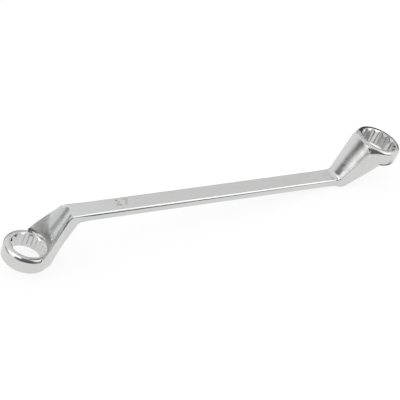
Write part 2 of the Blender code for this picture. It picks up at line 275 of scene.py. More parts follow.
# %% [markdown]
# The inner face of a neck is a scoop: it begins on the rim's circle and ends in a crescent at the
# bend. The outer face is crowned, and a crease parts it from the ring's shoulder. Both come from
# the line that the middle of the face follows, which runs behind the edges on one side and ahead of
# them on the other.

# %% Middles of the two faces of a neck
BACK_COLUMNS = 64
FOOT_COLUMNS = 12
NECK_COLUMNS = (34, 14, 5)


def scoop_foot(end):
    """Centre and radius of the circle, seen from above, on which the scoop begins."""
    near, across = end["inner_foot"], half_width(end, end["inner_foot"]) - NECK_ROUND
    reach = end["flat"] + LIP_WIDTH
    centre = (reach**2 - near**2 - across**2) / (2 * (reach - near))
    return centre, reach - centre


def scoop_line(end, inner):
    climb, bend, _ = NECK_COLUMNS
    top = (end["scoop_reach"], end["inner_lift"] + SLOPE * end["scoop_reach"])
    last = climb + bend // 2
    level = inner[climb + bend + 1]
    line = []
    for i, point in enumerate(inner):
        if i <= last:
            share = i / last
            foot = end["flat"] + LIP_WIDTH
            line.append((lerp(foot, top[0], share), lerp(RING_HEIGHT - SCOOP_DROP, top[1], share)))
        elif i <= climb + bend:
            share = (i - last) / (climb + bend + 1 - last)
            line.append((lerp(top[0], level[0], share), lerp(top[1], level[1], share)))
        else:
            line.append(point)
    return line


def outer_lines(end):
    climb, bend, run = NECK_COLUMNS
    corner = (end["outer_reach"], end["outer_lift"] + SLOPE * end["outer_reach"])
    foot = (lerp(end["outer_foot"], corner[0], end["foot_rise"] / corner[1]), end["foot_rise"])
    late = (climb - FOOT_COLUMNS, bend, run)
    edge = bent_line(foot, corner, OUTER_BEND_RADIUS, late, NECK_LENGTH)
    reach = end["outer_reach"] + NECK_CROWN
    top = (reach, end["outer_lift"] + SLOPE * reach)
    crown = bent_line((end["wall"], CREASE_DEPTH), top, OUTER_BEND_RADIUS, late, NECK_LENGTH)
    return foot, edge, crown


# %% [markdown]
# From the rim the ring's shoulder rounds over, first flat and then steep, until the crease stops
# it. In a forging die this is a plain quarter round, so the rows between follow a quarter turn from
# the rim's column to the crease.

# %% The shoulder between the rim and the crease


def shoulder_row(first, last, meeting, share):
    turn = share * math.pi / 2
    outwards, downwards = math.sin(turn), 1 - math.cos(turn)
    row = mix(first, last, downwards)
    for name in ("edge", "middle"):
        row[name].xy = first[name].xy.lerp(last[name].xy, outwards)
    row["down"] = Vector((0, 0, meeting.z - row["edge"].z)).lerp(last["down"], downwards)
    row["out"] = meeting - row["edge"] - row["down"]
    return row


# %% [markdown]
# Now the columns are set out in order: round the back of the ring, through the fan at the foot of
# the neck, up the neck and round the bend. Each pairs an inner edge with an outer one, because the
# two faces bend at different places.

# %% Columns from the back of a ring to the start of the shank


def end_columns(end):
    end["front"] = Vector((*scoop_foot(end), 0))
    foot, outer, crown = outer_lines(end)
    climb, bend, run = NECK_COLUMNS
    inner_foot = (end["inner_foot"], RING_HEIGHT - SCOOP_DROP)
    inner_corner = (end["inner_reach"], end["inner_lift"] + SLOPE * end["inner_reach"])
    inner = bent_line(inner_foot, inner_corner, INNER_BEND_RADIUS, NECK_COLUMNS, NECK_LENGTH)
    scoop = scoop_line(end, inner)
    inner_turn = math.acos(end["inner_foot"] / end["wall"])
    crease = neck_edge(end, outer[0], inner[FOOT_COLUMNS], crown[0])
    meeting = crease["edge"] + crease["out"] + crease["down"]
    outer_turn = math.atan2(meeting.y, meeting.x)

    columns = []
    for i in range(BACK_COLUMNS + 1):
        angle = lerp(math.pi, inner_turn, i / BACK_COLUMNS)
        above = ring_edge(end, angle, RING_HEIGHT, -1, INNER_SHOULDER_DEPTH)
        columns.append((above, ring_edge(end, angle, 0, 1, OUTER_SHOULDER_DEPTH)))
    ring_last = columns[-1][0]
    neck_first = neck_edge(end, inner[0], outer[0], scoop[0])
    neck_first["lip"] = Vector((-SCOOP_DROP, end["flat"], end["rim"]))
    neck_first["front"] = Vector((*end["front"].xy, 1))
    deep = meeting.z - LIP_DROP
    for i in range(1, FOOT_COLUMNS + 1):
        share = i / FOOT_COLUMNS
        depth = lerp(OUTER_SHOULDER_DEPTH, deep, share**2)
        under = ring_edge(end, lerp(inner_turn, outer_turn, share), 0, 1, depth)
        columns.append((mix(ring_last, neck_first, 1 - (1 - share) ** 2), under))

    under_last = {**columns[-1][1], "middle": Vector((end["rim"], 0, LIP_DROP))}
    for i in range(1, climb + bend + run + 1):
        opposite = outer[max(i - FOOT_COLUMNS, 0)]
        if i < FOOT_COLUMNS:
            under = shoulder_row(under_last, crease, meeting, (i - 1) / (FOOT_COLUMNS - 1))
        else:
            under = neck_edge(end, opposite, inner[i], crown[i - FOOT_COLUMNS])
        past = i - FOOT_COLUMNS
        under["dip"] = 1 + (CREASE_POWER - 1) / past if past > 0 else CREASE_POWER
        columns.append((neck_edge(end, inner[i], opposite, scoop[i]), under))
    return columns


small_columns, large_columns = end_columns(SMALL_END), end_columns(LARGE_END)
print("columns of the two ends:", len(small_columns), len(large_columns))

# %% [markdown]
# ## One closed section
# Across a face the points lie on an arc through its middle. At the edge a rounding turns down to
# the side wall, and the wall keeps to the outline from above. The other half of the section is its
# mirror image.

# %% Points of a section
FACE_STEPS = 32
EDGE_STEPS = 10
SIDE_STEPS = 6
STRAIGHT = math.radians(0.5)


def crown_lift(side, point):
    """How far the crown stands above the rim at a point. Inside the collar it is faced off."""
    drop, flat, rim = side["lip"]
    centre, radius, share = side["front"]
    reach, turn = math.hypot(point.x, point.y), math.atan2(point.y, point.x)
    ahead = centre * math.cos(turn) + math.sqrt(max(radius**2 - (centre * math.sin(turn)) ** 2, 0))
    out = min((reach - flat) / (lerp(rim, ahead, share) - flat), 1)
    return drop * (out * (CROWN_LEAN + (1 - CROWN_LEAN) * max(out, 0)) - 1)


def face_points(side):
    edge, middle = side["edge"], side["middle"]
    sag = Vector((middle.x - edge.x, 0, middle.z - edge.z))
    half_turn = 2 * math.atan2(sag.length, edge.y) if edge.y > WELD else 0
    points = []
    for i in range(FACE_STEPS + 1):
        share = math.sin(lerp(-math.pi / 2, math.pi / 2, i / FACE_STEPS))
        across, depth = share, share * share
        if half_turn > STRAIGHT:
            across = math.sin(half_turn * share) / math.sin(half_turn)
            depth = (1 - math.cos(half_turn * share)) / (1 - math.cos(half_turn))
        dip = depth ** side.get("dip", 1)
        point = Vector((middle.x - sag.x * depth, edge.y * across, middle.z - sag.z * dip))
        point.z += crown_lift(side, point)
        points.append(point)
    return points


def rounding(side):
    start = side["start"].x
    first = math.sin(start)
    points = []
    for i in range(1, EDGE_STEPS + 1):
        angle = lerp(start, math.pi / 2, i / EDGE_STEPS)
        out = (math.sin(angle) - first) / (1 - first)
        down = 1 - math.cos(angle) / math.cos(start)
        points.append(side["edge"] + side["out"] * out + side["down"] * down)
    return points


def section(end, inner, outer):
    down, up = rounding(inner), rounding(outer)
    wall = []
    for i in range(1, SIDE_STEPS):
        point = down[-1].lerp(up[-1], i / SIDE_STEPS)
        if point.x > 0:
            point.y = half_width(end, point.x)
        wall.append(point)
    side = [*down, *wall, *reversed(up)]
    mirror = Matrix.Diagonal((1, -1, 1))
    other_side = [mirror @ point for point in reversed(side)]
    loop = [*face_points(inner), *side, *reversed(face_points(outer)), *other_side]
    return [Vector(end["place"](*p)) for p in loop]


# %% [markdown]
# ## The skin
# The sections could be drawn one by one and bridged, but a bridge guesses which points belong
# together where a ring runs into a neck. A flat grid already has its faces: its rows become the
# sections, its two long sides meet along one seam, and merging doubles closes the seam and the
# poles.

# %% Wrap a grid round the sections


def wrapped_grid(loops):
    rows, around = len(loops), len(loops[0])
    bm = bmesh.new()
    bmesh.ops.create_grid(bm, x_segments=around, y_segments=rows - 1, size=0.5)
    # Reading order: row by row, and from one side to the other within a row.
    order = sorted(bm.verts, key=lambda v: (round(v.co.y * rows * 4), v.co.x))
    for i, vert in enumerate(order):
        vert.co = loops[i // (around + 1)][i % (around + 1) % around]
    bmesh.ops.remove_doubles(bm, verts=bm.verts, dist=WELD)
    bmesh.ops.recalc_face_normals(bm, faces=bm.faces)
    return bm


sections = [section(SMALL_END, *pair) for pair in small_columns]
sections += [section(LARGE_END, outer, inner) for inner, outer in reversed(large_columns)]
skin = wrapped_grid(sections)
print("skin faces:", len(skin.faces), "open edges:", sum(not e.is_manifold for e in skin.edges))

# %% [markdown]
# ## The bores
# A broach cuts the real bore in one stroke, and a countersink then opens both ends. Here the broach
# is a circle whose corners are moved to the blunt-tooth outline, extruded through the ring. The
# countersink is a short revolve: a small break at the face, then the lead-in at 45 degrees.

# %% Broach and countersink
OVERRUN = 2.0 * MM
LEAD_IN_STEPS = 180
BREAK_STEEPNESS = 0.8


def mesh_object(bm, name):
    mesh = bpy.data.meshes.new(name)
    bm.to_mesh(mesh)
    bm.free()
    piece = bpy.data.objects.new(name, mesh)
    bpy.context.scene.collection.objects.link(piece)
    return piece


def broach(end, name):
    pitch = 2 * math.pi / POINTS
    tooth, recess = end["tooth"], end["corner"] + RECESS_RELIEF
    half = [
        (tooth, TOOTH_HALF_ANGLE - TOOTH_BREAK_ANGLE),
        (tooth + EDGE_BREAK / 2, TOOTH_HALF_ANGLE),
        (recess - RECESS_ROUND, pitch / 2 - RECESS_HALF_ANGLE),
        (recess - RECESS_ROUND / 3, pitch / 2 - lerp(RECESS_FLAT_ANGLE, RECESS_HALF_ANGLE, 0.5)),
        (recess, pitch / 2 - RECESS_FLAT_ANGLE),
    ]
    corners = []
    for i in range(POINTS):
        corners += [(radius, pitch * i + angle) for radius, angle in half]
        corners += [(radius, pitch * (i + 1) - angle) for radius, angle in reversed(half)]
    bm = bmesh.new()
    bmesh.ops.create_circle(bm, cap_ends=True, segments=len(corners), radius=recess)
    for vert, (radius, angle) in zip(bm.verts, corners):
        vert.co = (radius * math.cos(angle), radius * math.sin(angle), -RING_HEIGHT - OVERRUN)
    raised = bmesh.ops.extrude_face_region(bm, geom=list(bm.faces))
    tops = [item for item in raised["geom"] if isinstance(item, bmesh.types.BMVert)]
    bmesh.ops.translate(bm, verts=tops, vec=(0, 0, RING_HEIGHT + 2 * OVERRUN))
    bmesh.ops.recalc_face_normals(bm, faces=bm.faces)
    return mesh_object(bm, name)


def countersink(end, name, low):
    lip = end["corner"] + LEAD_IN_WIDTH
    narrow = end["tooth"] - LEAD_IN_WIDTH
    profile = [
        (0, OVERRUN),
        (end["flat"] + 2 * STEP_WIDTH, OVERRUN),
        (end["flat"] + 2 * STEP_WIDTH, -STEP_DEPTH),
        (end["flat"] + STEP_WIDTH, -STEP_DEPTH),
        (end["flat"], 0),
        (lip + EDGE_BREAK, 0),
        (lip - EDGE_BREAK, -EDGE_BREAK * BREAK_STEEPNESS),
        (narrow, narrow - lip),
        (0, narrow - lip),
    ]
    bm = bmesh.new()
    verts = [bm.verts.new((radius, 0, z)) for radius, z in profile]
    edges = [bm.edges.new(pair) for pair in zip(verts, verts[1:])]
    bmesh.ops.spin(
        bm,
        geom=verts + edges,
        cent=(0, 0, 0),
        axis=(0, 0, 1),
        angle=2 * math.pi,
        steps=LEAD_IN_STEPS,
        use_merge=True,
    )
    bmesh.ops.remove_doubles(bm, verts=bm.verts, dist=WELD)
    if low:
        bmesh.ops.scale(bm, verts=bm.verts, vec=(1, 1, -1))
        bmesh.ops.translate(bm, verts=bm.verts, vec=(0, 0, -RING_HEIGHT))
    bmesh.ops.recalc_face_normals(bm, faces=bm.faces)
    return mesh_object(bm, name)


# %% [markdown]
# ## The stamp
# The size of the small nut is punched into the shank beside its ring. A punch pushes its digits in
# with sloping walls, so the text gets a small bevel before it becomes a mesh, and the mesh is then
# laid on the shank.

# %% Digits for the shank
DIGIT_HEIGHT = 7.6 * MM
FONT_SIZE_PER_HEIGHT = 1.4
DIGIT_SPACING = 1.5
STAMP_DEPTH = 0.5 * MM
STAMP_BEVEL = 0.3 * MM
STAMP_REACH = 74.5 * MM
STAMP_ASIDE = 1.2 * MM


def evaluated_mesh(piece):
    """A mesh of its own for what an object shows, with its bevel or modifiers worked in."""
    bpy.context.view_layer.update()
    shown = piece.evaluated_get(bpy.context.evaluated_depsgraph_get())
    return bpy.data.meshes.new_from_object(shown)


def punched_number(words, place):
    curve = bpy.data.curves.new("punch", "FONT")
    curve.body = words
    curve.size = DIGIT_HEIGHT * FONT_SIZE_PER_HEIGHT
    curve.space_character = DIGIT_SPACING
    curve.align_x, curve.align_y = "CENTER", "CENTER"
    curve.extrude = OVERRUN / 2
    curve.bevel_depth = STAMP_BEVEL
    curve.bevel_resolution = 0
    holder = bpy.data.objects.new("punch", curve)
    bpy.context.scene.collection.objects.link(holder)
    mesh = evaluated_mesh(holder)
    bpy.data.objects.remove(holder)
    bm = bmesh.new()
    bm.from_mesh(mesh)
    bpy.data.meshes.remove(mesh)
    bmesh.ops.remove_doubles(bm, verts=bm.verts, dist=WELD)
    bmesh.ops.translate(bm, verts=bm.verts, vec=(0, 0, OVERRUN / 2 + STAMP_BEVEL - STAMP_DEPTH))
    bmesh.ops.transform(bm, matrix=place, verts=bm.verts)
    bmesh.ops.recalc_face_normals(bm, faces=bm.faces)
    return mesh_object(bm, "punch_" + words)


stamp_lift = SHANK_LIFT + SLOPE * STAMP_REACH
stamp_spot = Matrix.Translation((STAMP_REACH, STAMP_ASIDE, stamp_lift))
small_stamp = stamp_spot @ Matrix.Rotation(-SHANK_TILT, 4, "Y")
print("stamp in mm from the small ring's axis:", round(STAMP_REACH / MM, 1))

# %% [markdown]
# ## The cuts
# In the shop the lead-ins are turned, the bores are broached and the digits are punched after
# forging. Exact booleans do the same here, which leaves the crisp edges of cut metal. An open edge
# afterwards would mean a hole in the skin, so the script stops there instead of going on.

# %% Cut the bores and the stamp
at_large = Matrix.Translation((RING_SPACING, 0, RING_STEP))
cutters = [punched_number("27", small_stamp)]
for name, end, place in (("small", SMALL_END, Matrix()), ("large", LARGE_END, at_large)):
    for tool in (
        countersink(end, name + "_upper_countersink", False),
        countersink(end, name + "_lower_countersink", True),
        broach(end, name + "_broach"),
    ):
        tool.data.transform(place)
        cutters.append(tool)

spanner = mesh_object(skin, "ring_spanner")
for tool in cutters:
    cut = spanner.modifiers.new(tool.name, "BOOLEAN")
    cut.operation, cut.solver, cut.object = "DIFFERENCE", "EXACT", tool
cut_mesh = evaluated_mesh(spanner)
spanner.modifiers.clear()
spanner.data = cut_mesh
for tool in cutters:
    bpy.data.objects.remove(tool)
cut_check = bmesh.new()
cut_check.from_mesh(cut_mesh)
open_edges = sum(not e.is_manifold for e in cut_check.edges)
print("faces after the cuts:", len(cut_mesh.polygons), "open edges:", open_edges)
cut_check.free()
if open_edges:
    raise RuntimeError("the cuts left the skin open")

# %% [markdown]
# ## Laying it on the bench
# The spanner was drawn in the frame of its small ring. It rests on the foot of that ring and on the
# underside of the far bend, so it leans, and the CAD box says where it lies. The finer skin follows
# the true rounding, so its highest point stands a hundredth of a millimetre above the coarser CAD
# mesh, and is drawn in by that.

# %% Lean it and match the CAD box
LEAN_SINE, LEAN_COSINE = 0.32042882, 0.9472726
LEAN = math.atan2(LEAN_SINE, LEAN_COSINE)
spanner.data.transform(Matrix.Rotation(LEAN, 4, "Y"))
low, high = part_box("spanner_forging")
corners = [v.co for v in spanner.data.vertices]
mine_low = Vector([min(c[i] for c in corners) for i in range(3)])
mine_high = Vector([max(c[i] for c in corners) for i in range(3)])
shift = Vector(((low.x + high.x - mine_low.x - mine_high.x) / 2, 0, low.z - mine_low.z))
spanner.data.transform(Matrix.Translation(shift))
height = mine_high.z - mine_low.z
squash = min(1.0, (high.z - low.z) / height)
spanner.data.transform(Matrix.Scale(squash, 4, Vector((0, 0, 1))))
print("size in mm:", [round(s / MM, 2) for s in mine_high - mine_low])
print("CAD size in mm:", [round(s / MM, 2) for s in high - low])
print("drawn in to stay under the CAD box, in mm:", round((1 - squash) * height / MM, 3))

# %% [markdown]
# Forged skin shades smoothly, and cut edges stay crisp. One angle tells the two apart, because no
# rounding of the forging turns as far between two faces as a cut edge does.

# %% Crisp turned edges, smooth everywhere else
CRISP_ANGLE = math.radians(24.0)
spanner.data.shade_smooth()
spanner.data.set_sharp_from_angle(angle=CRISP_ANGLE)
print("triangles:", sum(len(p.vertices) - 2 for p in spanner.data.polygons))

# %% [markdown]
# ## Satin chrome
# The real skin is chrome plate over steel that was tumbled, not polished to a mirror. So it needs
# four things: a slow change of tone and softness, a fine grain, edges that handling has worn
# smoother, painted brighter as a highlight, and hollows that stay dull, painted darker as shade. The
# first two are noise in the piece's own coordinates. The last two need to know where the skin turns,
# so the turn of each edge is measured once on the mesh and kept with its vertices.

# %% Measure how the skin turns
WEAR_PASSES = 2


def measure_turn(mesh):
    """Keeps a signed curvature in 1/mm on each vertex: above 0 on edges, below 0 in hollows."""
    bm = bmesh.new()
    bm.from_mesh(mesh)
    turns = []
    for vert in bm.verts:
        # A vertex owns a third of each face round it and a quarter of each edge's turn.
        area = sum(face.calc_area() for face in vert.link_faces) / 3
        bends = [edge.calc_face_angle_signed(0) * edge.calc_length() for edge in vert.link_edges]
        turns.append(sum(bends) / 4 / area * MM if area else 0)
    around = [[edge.other_vert(vert).index for edge in vert.link_edges] for vert in bm.verts]
    for _ in range(WEAR_PASSES):
        means = [sum(turns[n] for n in near) / len(near) for near in around]
        turns = [lerp(turn, mean, 0.5) for turn, mean in zip(turns, means)]
    bm.free()
    kept = mesh.attributes.new("turn", "FLOAT", "POINT")
    kept.data.foreach_set("value", turns)
    return turns


turns = sorted(measure_turn(spanner.data))
fiftieth = len(turns) // 50
low_turn, high_turn = (round(turns[i], 2) for i in (fiftieth, -fiftieth))
print("turn of the skin in 1/mm, low and high:", low_turn, high_turn)

# %% [markdown]
# The finish is written with nodes, and most of them are noise, sums and soft steps. A few short
# helpers keep each layer of the finish to a line that reads like the sentence it stands for.

# %% Short ways to wire nodes


def wired(tree, kind, inputs, **settings):
    """A node whose inputs are values or the outputs of other nodes."""
    node = tree.nodes.new(kind)
    for name, value in settings.items():
        setattr(node, name, value)
    for key, value in inputs.items():
        if isinstance(value, bpy.types.NodeSocket):
            tree.links.new(value, node.inputs[key])
        else:
            node.inputs[key].default_value = value
    return node


def reckon(tree, operation, *values):
    return wired(tree, "ShaderNodeMath", dict(enumerate(values)), operation=operation).outputs[0]


def between(tree, value, low, high, to_low=0.0, to_high=1.0):
    """Runs smoothly from one value to another as the input goes from low to high."""
    inputs = {"Value": value, "From Min": low, "From Max": high}
    inputs.update({"To Min": to_low, "To Max": to_high})
    ranged = wired(tree, "ShaderNodeMapRange", inputs, interpolation_type="SMOOTHSTEP")
    return ranged.outputs["Result"]


def noise(tree, place, size, detail=3.0):
    """Noise whose clouds are about as wide as the size."""
    inputs = {"Vector": place, "Scale": 1 / size, "Detail": detail}
    return wired(tree, "ShaderNodeTexNoise", inputs).outputs["Fac"]


def new_group(name, vectors, values):
    """A node group with vectors going in and values coming out, and its two end nodes."""
    tree = bpy.data.node_groups.new(name, "ShaderNodeTree")
    for socket in vectors:
        tree.interface.new_socket(socket, in_out="INPUT", socket_type="NodeSocketVector")
    for socket in values:
        tree.interface.new_socket(socket, in_out="OUTPUT", socket_type="NodeSocketFloat")
    return tree, tree.nodes.new("NodeGroupInput"), tree.nodes.new("NodeGroupOutput")


# %% [markdown]
# The rings are machined after forging: a cutter faces the collars and leaves fine circles, and the
# broach leaves streaks along the bore. Both follow the ring's axis, so this group leans the place
# back into the frame that the rings were drawn in, and measures the distance to the nearer axis as
# a share of that ring's collar.

# %% Where the cutter has been
CIRCLE_PITCH = 0.25 * MM
STREAK_SIZE = 0.5 * MM
STREAK_STRETCH = 0.04
COLLAR_EDGE = (1.005, 0.995)
FLAT_FACING = (0.4, 0.8)
MIX_FLOAT_A, MIX_FLOAT_B = 2, 3


def leaned_back(tree, value):
    """Turns a place or a direction back into the frame that the rings were drawn in."""
    inputs = {"Vector": value, "Angle": -LEAN}
    return wired(tree, "ShaderNodeVectorRotate", inputs, rotation_type="Y_AXIS").outputs[0]


def vector_reckon(tree, operation, value, other):
    return wired(tree, "ShaderNodeVectorMath", {0: value, 1: other}, operation=operation).outputs[0]


def machined_group():
    sockets = ("Place", "Facing"), ("Machined", "Marks")
    tree, inside, outside = new_group("machined_marks", *sockets)
    unmoved = vector_reckon(tree, "ADD", inside.outputs["Place"], tuple(-shift))
    drawn = leaned_back(tree, unmoved)
    spot = wired(tree, "ShaderNodeSeparateXYZ", {0: drawn})
    facing = wired(tree, "ShaderNodeSeparateXYZ", {0: leaned_back(tree, inside.outputs["Facing"])})
    shares = []
    for end, middle in ((SMALL_END, 0), (LARGE_END, RING_SPACING)):
        off = reckon(tree, "SUBTRACT", spot.outputs["X"], middle)
        squares = [reckon(tree, "POWER", leg, 2) for leg in (off, spot.outputs["Y"])]
        distance = reckon(tree, "SQRT", reckon(tree, "ADD", *squares))
        shares.append(reckon(tree, "DIVIDE", distance, end["flat"]))
    nearer = reckon(tree, "MINIMUM", *shares)
    machined = between(tree, nearer, *COLLAR_EDGE)
    rounds = 2 * math.pi * SMALL_END["flat"] / CIRCLE_PITCH
    circles = reckon(tree, "SINE", reckon(tree, "MULTIPLY", nearer, rounds))
    stretched = vector_reckon(tree, "MULTIPLY", drawn, (1, 1, STREAK_STRETCH))
    streaks = noise(tree, stretched, STREAK_SIZE, 2.0)
    flatness = between(tree, reckon(tree, "ABSOLUTE", facing.outputs["Z"]), *FLAT_FACING)
    choice = {"Factor": flatness, MIX_FLOAT_A: streaks, MIX_FLOAT_B: circles}
    marks = wired(tree, "ShaderNodeMix", choice, data_type="FLOAT")
    tree.links.new(machined, outside.inputs["Machined"])
    tree.links.new(marks.outputs[0], outside.inputs["Marks"])
    return tree


# %% [markdown]
# The forged skin is never quite flat: it carries a slow swell from the dies, a fine grain from
# tumbling, and a few pits where scale was pressed in. The pits of this spanner sit in the two
# necks, so each neck has a spot around which they may show, and a cell pattern picks a few points
# there.

# %% The forged skin
SWELL_SIZE = 14.0 * MM
CLOUD_SIZE = 9.0 * MM
CLOUD_RANGE = (0.3, 0.7)
GRAIN_SIZE = 0.55 * MM
PIT_SIZE = 1.1 * MM
PIT_SPOTS = ((-0.1425, 0.003, 0.0375), (0.1405, -0.003, 0.0225))
PIT_REACH = 7.0 * MM
PIT_BOWL = (0.4, 0.1)
PITTED_SHARE = 0.7


def forged_group():
    sockets = ("Place",), ("Swell", "Clouds", "Grain", "Pits")
    tree, inside, outside = new_group("forged_skin", *sockets)
    place = inside.outputs["Place"]
    near = None
    for spot in PIT_SPOTS:
        gap = wired(tree, "ShaderNodeVectorMath", {0: place, 1: spot}, operation="DISTANCE")
        close = between(tree, gap.outputs["Value"], PIT_REACH, 0.0)
        near = close if near is None else reckon(tree, "ADD", near, close)
    cells = wired(tree, "ShaderNodeTexVoronoi", {"Vector": place, "Scale": 1 / PIT_SIZE})
    chosen = wired(tree, "ShaderNodeSeparateColor", {0: cells.outputs["Color"]}).outputs[0]
    picked = reckon(tree, "LESS_THAN", chosen, reckon(tree, "MULTIPLY", near, PITTED_SHARE))
    bowl = between(tree, cells.outputs["Distance"], *PIT_BOWL)
    made = {
        "Swell": noise(tree, place, SWELL_SIZE, 1.0),
        "Clouds": between(tree, noise(tree, place, CLOUD_SIZE), *CLOUD_RANGE),
        "Grain": noise(tree, place, GRAIN_SIZE),
        "Pits": reckon(tree, "MULTIPLY", bowl, picked),
    }
    for name, value in made.items():
        tree.links.new(value, outside.inputs[name])
    return tree


# %% [markdown]
# The plate is neutral, a trace warmer where it is thin and a trace bluer where it is thick. Rubbed
# edges are smoother than the rest and painted brighter as a highlight. Hollows are softer and
# painted darker as shade, and pits are darker and softer.

# %% Tone and softness of the plate
PLATE_COOL = (0.618, 0.625, 0.632, 1)
PLATE_WARM = (0.644, 0.637, 0.623, 1)
# Edges are worn smoother, and their lighter tone is a painted highlight.
WEAR_AND_HIGHLIGHT_TONE = (0.72, 0.72, 0.71, 1)
# Hollows are painted darker as shade, and pits are darker too.
SHADE_AND_PIT_TONE = (0.3, 0.29, 0.27, 1)
WEAR_AND_HIGHLIGHT_SHARE, SHADE_AND_PIT_SHARE = 0.5, 0.3
SOFT_LOW, SOFT_HIGH = 0.15, 0.24
WORN_POLISH, DULL_SOFTENING = 0.04, 0.05
MIX_COLOUR_A, MIX_COLOUR_B, MIX_COLOUR_OUT = 6, 7, 2


def blended(tree, share, below, above):
    inputs = {"Factor": share, MIX_COLOUR_A: below, MIX_COLOUR_B: above}
    return wired(tree, "ShaderNodeMix", inputs, data_type="RGBA").outputs[MIX_COLOUR_OUT]


def plate_tone(tree, clouds, wear_and_highlight, shade_and_dullness):
    tone = blended(tree, clouds, PLATE_COOL, PLATE_WARM)
    # Painted highlight: edges are lighter than the plate.
    tone = blended(tree, reckon(tree, "MULTIPLY", wear_and_highlight, WEAR_AND_HIGHLIGHT_SHARE), tone, WEAR_AND_HIGHLIGHT_TONE)
    # Painted shade: hollows are darker, and pits are darker.
    return blended(tree, reckon(tree, "MULTIPLY", shade_and_dullness, SHADE_AND_PIT_SHARE), tone, SHADE_AND_PIT_TONE)


def plate_softness(tree, clouds, wear_and_highlight, shade_and_dullness):
    soft = between(tree, clouds, 0.0, 1.0, SOFT_LOW, SOFT_HIGH)
    soft = reckon(tree, "SUBTRACT", soft, reckon(tree, "MULTIPLY", wear_and_highlight, WORN_POLISH))
    return reckon(tree, "ADD", soft, reckon(tree, "MULTIPLY", shade_and_dullness, DULL_SOFTENING))


# %% [markdown]
# Relief too fine for the mesh comes from bump nodes. The cutter's marks replace the forged grain
# where it has been, and the swell and the pits are everywhere.

# %% Relief of the skin
SWELL_DEPTH = 0.06 * MM
GRAIN_DEPTH = 0.006 * MM
MARK_DEPTH = 0.004 * MM
PIT_DEPTH = 0.12 * MM


def skin_relief(tree, forged, machined):
    """Bump nodes in a row, each on top of the one before. Each layer is a height and its depth."""
    cutter = machined["Machined"]
    uncut = reckon(tree, "SUBTRACT", 1.0, cutter)
    layers = (
        (forged["Swell"], SWELL_DEPTH),
        (reckon(tree, "MULTIPLY", forged["Grain"], uncut), GRAIN_DEPTH),
        (reckon(tree, "MULTIPLY", machined["Marks"], cutter), MARK_DEPTH),
        (reckon(tree, "MULTIPLY", forged["Pits"], -1.0), PIT_DEPTH),
    )
    normal = None
    for height, depth in layers:
        bump = {"Height": height, "Distance": depth, "Strength": 1.0}
        if normal:
            bump["Normal"] = normal
        normal = wired(tree, "ShaderNodeBump", bump).outputs["Normal"]
    return normal


# %% [markdown]
# The finish joins them. Wear with its painted highlight, and dullness with its painted shade, are
# broken up by the clouds, because hands don't rub evenly, and the measured turn of the skin says
# where each belongs.

# %% The plated finish
EDGE_TURN = (0.12, 0.55)
HOLLOW_TURN = (-0.05, -0.5)
LEAST_PATCH = 0.45
PIT_DULLING = 0.8


def satin_chrome():
    finish = bpy.data.materials.new("satin_chrome")
    finish.use_nodes = True
    tree = finish.node_tree
    where = wired(tree, "ShaderNodeTexCoord", {}).outputs
    forged = wired(tree, "ShaderNodeGroup", {"Place": where["Object"]}, node_tree=forged_group())
    places = {"Place": where["Object"], "Facing": where["Normal"]}
    machined = wired(tree, "ShaderNodeGroup", places, node_tree=machined_group())
    clouds = forged.outputs["Clouds"]

    turn = wired(tree, "ShaderNodeAttribute", {}, attribute_name="turn").outputs["Fac"]
    patchy = between(tree, clouds, 0.0, 1.0, LEAST_PATCH, 1.0)
    # The edge mask: real wear makes these edges smoother, and their lighter colour is a painted
    # highlight.
    wear_and_highlight = reckon(tree, "MULTIPLY", between(tree, turn, *EDGE_TURN), patchy)
    # The hollow mask: these places are duller, and their darker colour is painted shade. Pits join
    # it.
    shade_and_dullness = reckon(tree, "MULTIPLY", between(tree, turn, *HOLLOW_TURN), patchy)
    pitted = reckon(tree, "MULTIPLY", forged.outputs["Pits"], PIT_DULLING)
    shade_and_dullness = reckon(tree, "MAXIMUM", shade_and_dullness, pitted)

    shader = tree.nodes["Principled BSDF"]
    shader.inputs["Metallic"].default_value = 1.0
    made = {
        "Base Color": plate_tone(tree, clouds, wear_and_highlight, shade_and_dullness),
        "Roughness": plate_softness(tree, clouds, wear_and_highlight, shade_and_dullness),
        "Normal": skin_relief(tree, forged.outputs, machined.outputs),
    }
    for name, value in made.items():
        tree.links.new(value, shader.inputs[name])
    return finish


spanner.data.materials.clear()
spanner.data.materials.append(satin_chrome())
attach(spanner, "root")
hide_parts("spanner_forging")
print("finish:", [m.name for m in spanner.data.materials])

# %% [markdown]
# ## The studio
# The photograph has a pure white ground. The floor and the world are white to the camera, in
# reflections and through glass, and the light on the object itself stays at a plain level. The
# floor adds a share of diffuse white, so that the shadow of the tool still shows on it.

# %% Rays that see the background
LIGHT_LEVEL = 0.85
FLOOR_SHADE_SHARE = 0.28
FLOOR_GLOW = 0.78
FLOOR_WHITE = 0.8
FLOOR_REACH = 6.0


def grey(level):
    return (level, level, level)


def seen_rays(tree):
    """1 for camera, glossy and transmission rays, otherwise 0."""
    path = wired(tree, "ShaderNodeLightPath", {}).outputs
    total = reckon(tree, "MAXIMUM", path["Is Camera Ray"], path["Is Glossy Ray"])
    return reckon(tree, "MAXIMUM", total, path["Is Transmission Ray"])


def white_world():
    world = bpy.data.worlds.new("studio")
    bpy.context.scene.world = world
    world.use_nodes = True
    tree = world.node_tree
    back = tree.nodes["Background"]
    back.inputs["Color"].default_value = (1, 1, 1, 1)
    tree.links.new(between(tree, seen_rays(tree), 0, 1, LIGHT_LEVEL, 1.0), back.inputs["Strength"])


